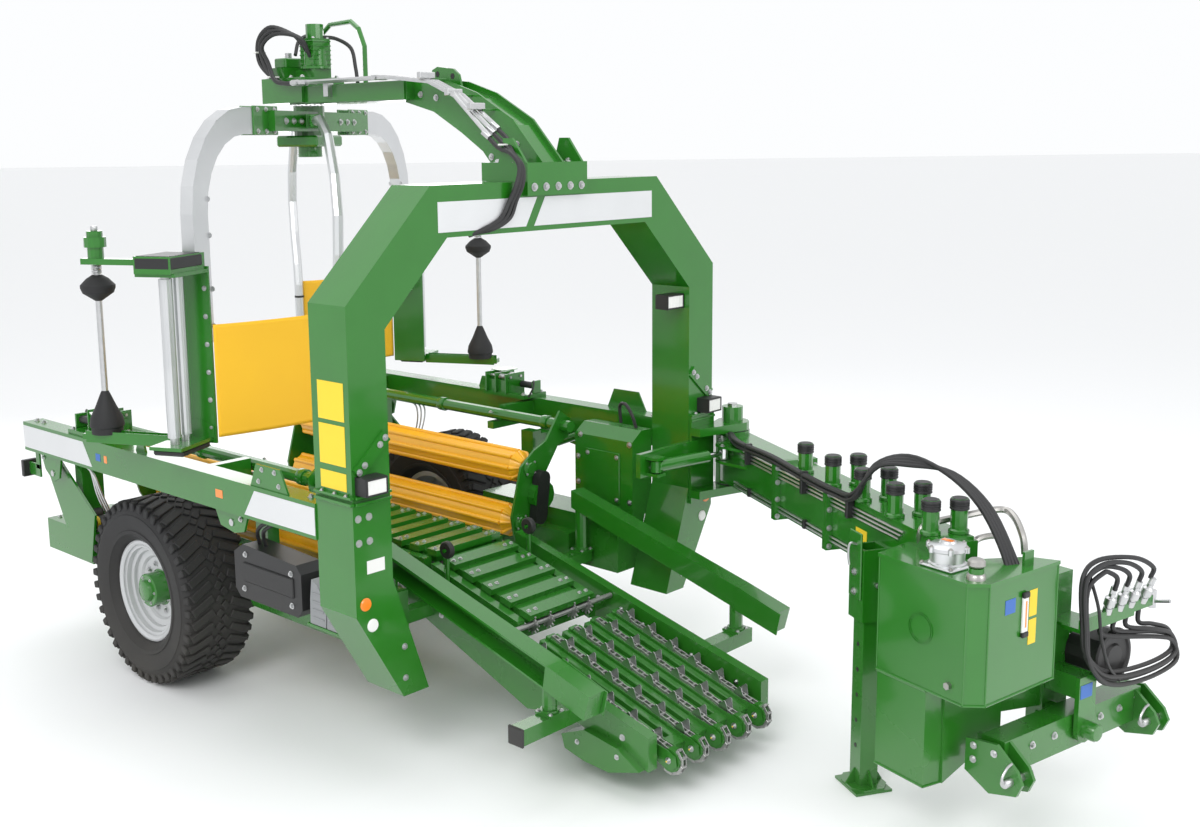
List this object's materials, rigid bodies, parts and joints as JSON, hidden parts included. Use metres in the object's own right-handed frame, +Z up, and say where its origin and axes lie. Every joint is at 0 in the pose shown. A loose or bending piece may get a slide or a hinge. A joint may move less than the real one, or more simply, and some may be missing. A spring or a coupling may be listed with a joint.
{
  "type": "square bale wrapper",
  "caption": "Trailed wrapper for square bales: loading ramp, slat conveyor, portal arch, overhead film rotor, side-swung drawbar with oil tank.",
  "frame": {"origin": "middle of the machine's box, on the ground", "axes": "+X towards the hitch, +Y the machine's left, +Z up"},
  "size_m": [5.8022, 3.0974, 3.5986],
  "materials": {
    "green": "gloss",
    "aluminium": "satin",
    "rim": "satin",
    "tyre": "matt",
    "black": "satin",
    "yellow": "satin",
    "cloth": "coated cloth",
    "steel": "satin"
  },
  "bodies": {
    "chassis": {"arch_frame": "green", "axle": "black", "boom": "green", "boom_pipes": "steel", "chassis_frame": "green", "conveyor_sides": "green", "drawbar_bracket": "green", "drive_cover": "black", "film_cutter_left": "green", "film_cutter_right": "green", "headlamp_left": "black", "headlamp_right": "black", "hose_hoop": "green", "leg_cover_box": "green", "ramp_carrier": "green", "rotor_motor": "green", "side_beam_left": "green", "side_beam_right": "green", "slat_conveyor": "green", "tail_lamp_left": "green", "tail_lamp_right": "green", "work_lamp": "black"},
    "wheel_right": {"tyre_right": "tyre", "rim_right": "rim"},
    "wheel_left": {"tyre_left": "tyre", "rim_left": "rim"},
    "rotor": {"rotor_beam": "green", "wrap_arm_right": "aluminium", "wrap_arm_left": "aluminium", "curtain_tube_right": "aluminium", "curtain_tube_left": "aluminium", "dispenser_right": "green", "dispenser_left": "green", "film_mast_right": "steel", "film_mast_left": "steel", "curtain_right": "cloth", "curtain_left": "cloth"},
    "film_roller_inner_right": {"film_roller_inner_right": "aluminium"},
    "film_roller_outer_right": {"film_roller_outer_right": "aluminium"},
    "carriage_right": {"carriage_right": "green"},
    "yellow_roller_upper_right": {"yellow_roller_upper_right": "yellow"},
    "yellow_roller_lower_right": {"yellow_roller_lower_right": "yellow"},
    "film_roller_inner_left": {"film_roller_inner_left": "aluminium"},
    "film_roller_outer_left": {"film_roller_outer_left": "aluminium"},
    "carriage_left": {"carriage_left": "green"},
    "yellow_roller_upper_left": {"yellow_roller_upper_left": "yellow"},
    "yellow_roller_lower_left": {"yellow_roller_lower_left": "yellow"},
    "loading_ramp": {"loading_ramp": "green", "ramp_slats": "green", "guide_rail_left": "green", "guide_rail_right": "green"},
    "drawbar": {"drawbar": "green", "film_posts": "green", "tank": "green", "coupler_stand": "green", "hose_guard": "black"},
    "hitch_bar": {"hitch_bar": "green"},
    "jack_stand": {"jack_stand": "green"},
    "swing_barrel": {"swing_barrel": "green"},
    "swing_rod": {"swing_rod": "steel"}
  },
  "joints": [
    {"name": "wheel_spin_right", "type": "hinge", "parent": "chassis", "child": "wheel_right", "pos_m": [-1.70409, -1.036, 0.515], "axis": [0, 1, 0], "continuous": true},
    {"name": "wheel_spin_left", "type": "hinge", "parent": "chassis", "child": "wheel_left", "pos_m": [-1.70409, 1.036, 0.515], "axis": [0, 1, 0], "continuous": true},
    {"name": "rotor_turn", "type": "hinge", "parent": "chassis", "child": "rotor", "pos_m": [-1.66009, 0, 3.04], "axis": [0, 0, 1], "continuous": true},
    {"name": "film_roller_inner_spin_right", "type": "hinge", "parent": "rotor", "child": "film_roller_inner_right", "pos_m": [-1.03644, -1.29239, 1.9], "axis": [0, 0, 1], "continuous": true},
    {"name": "film_roller_outer_spin_right", "type": "hinge", "parent": "rotor", "child": "film_roller_outer_right", "pos_m": [-0.99298, -1.38246, 1.9], "axis": [0, 0, 1], "continuous": true},
    {"name": "film_roller_inner_spin_left", "type": "hinge", "parent": "rotor", "child": "film_roller_inner_left", "pos_m": [-2.28374, 1.29239, 1.9], "axis": [0, 0, 1], "continuous": true},
    {"name": "film_roller_outer_spin_left", "type": "hinge", "parent": "rotor", "child": "film_roller_outer_left", "pos_m": [-2.3272, 1.38246, 1.9], "axis": [0, 0, 1], "continuous": true},
    {"name": "carriage_swing_right", "type": "hinge", "parent": "chassis", "child": "carriage_right", "pos_m": [-1.70409, -0.88, 1.27], "axis": [1, 0, 0], "range_deg": [0, 18]},
    {"name": "yellow_roller_upper_spin_right", "type": "hinge", "parent": "carriage_right", "child": "yellow_roller_upper_right", "pos_m": [-1.70409, -0.6, 1.065], "axis": [1, 0, 0], "continuous": true},
    {"name": "yellow_roller_lower_spin_right", "type": "hinge", "parent": "carriage_right", "child": "yellow_roller_lower_right", "pos_m": [-1.70409, -0.52, 0.76], "axis": [1, 0, 0], "continuous": true},
    {"name": "carriage_swing_left", "type": "hinge", "parent": "chassis", "child": "carriage_left", "pos_m": [-1.70409, 0.88, 1.27], "axis": [-1, 0, 0], "range_deg": [0, 18]},
    {"name": "yellow_roller_upper_spin_left", "type": "hinge", "parent": "carriage_left", "child": "yellow_roller_upper_left", "pos_m": [-1.70409, 0.6, 1.065], "axis": [1, 0, 0], "continuous": true},
    {"name": "yellow_roller_lower_spin_left", "type": "hinge", "parent": "carriage_left", "child": "yellow_roller_lower_left", "pos_m": [-1.70409, 0.52, 0.76], "axis": [1, 0, 0], "continuous": true},
    {"name": "ramp_tilt", "type": "hinge", "parent": "chassis", "child": "loading_ramp", "pos_m": [-0.40409, 0, 0.64], "axis": [0, -1, 0], "range_deg": [-3, 10]},
    {"name": "drawbar_swing", "type": "hinge", "parent": "chassis", "child": "drawbar", "pos_m": [0.33591, 1.395, 1.13], "axis": [0, 0, 1], "range_deg": [0, 30]},
    {"name": "hitch_roll", "type": "hinge", "parent": "drawbar", "child": "hitch_bar", "pos_m": [2.62817, 0.65931, 0.421], "axis": [0.9816, -0.1908, 0], "range_deg": [-8, 8]},
    {"name": "jack_slide", "type": "slide", "parent": "drawbar", "child": "jack_stand", "axis": [0, 0, 1], "range_m": [0, 0.25]},
    {"name": "barrel_swing", "type": "hinge", "parent": "chassis", "child": "swing_barrel", "pos_m": [0.34591, 0.7, 1.19], "axis": [0, 0, -1], "range_deg": [0, 7.74]},
    {"name": "rod_slide", "type": "slide", "parent": "swing_barrel", "child": "swing_rod", "axis": [0.1679, 0.9858, 0], "range_m": [0, 0.0946]}
  ],
  "couplings": [
    {"joint": "barrel_swing", "follows": "drawbar_swing", "ratio": 0.25624},
    {"joint": "rod_slide", "follows": "drawbar_swing", "m_per_rad": 0.17977}
  ]
}
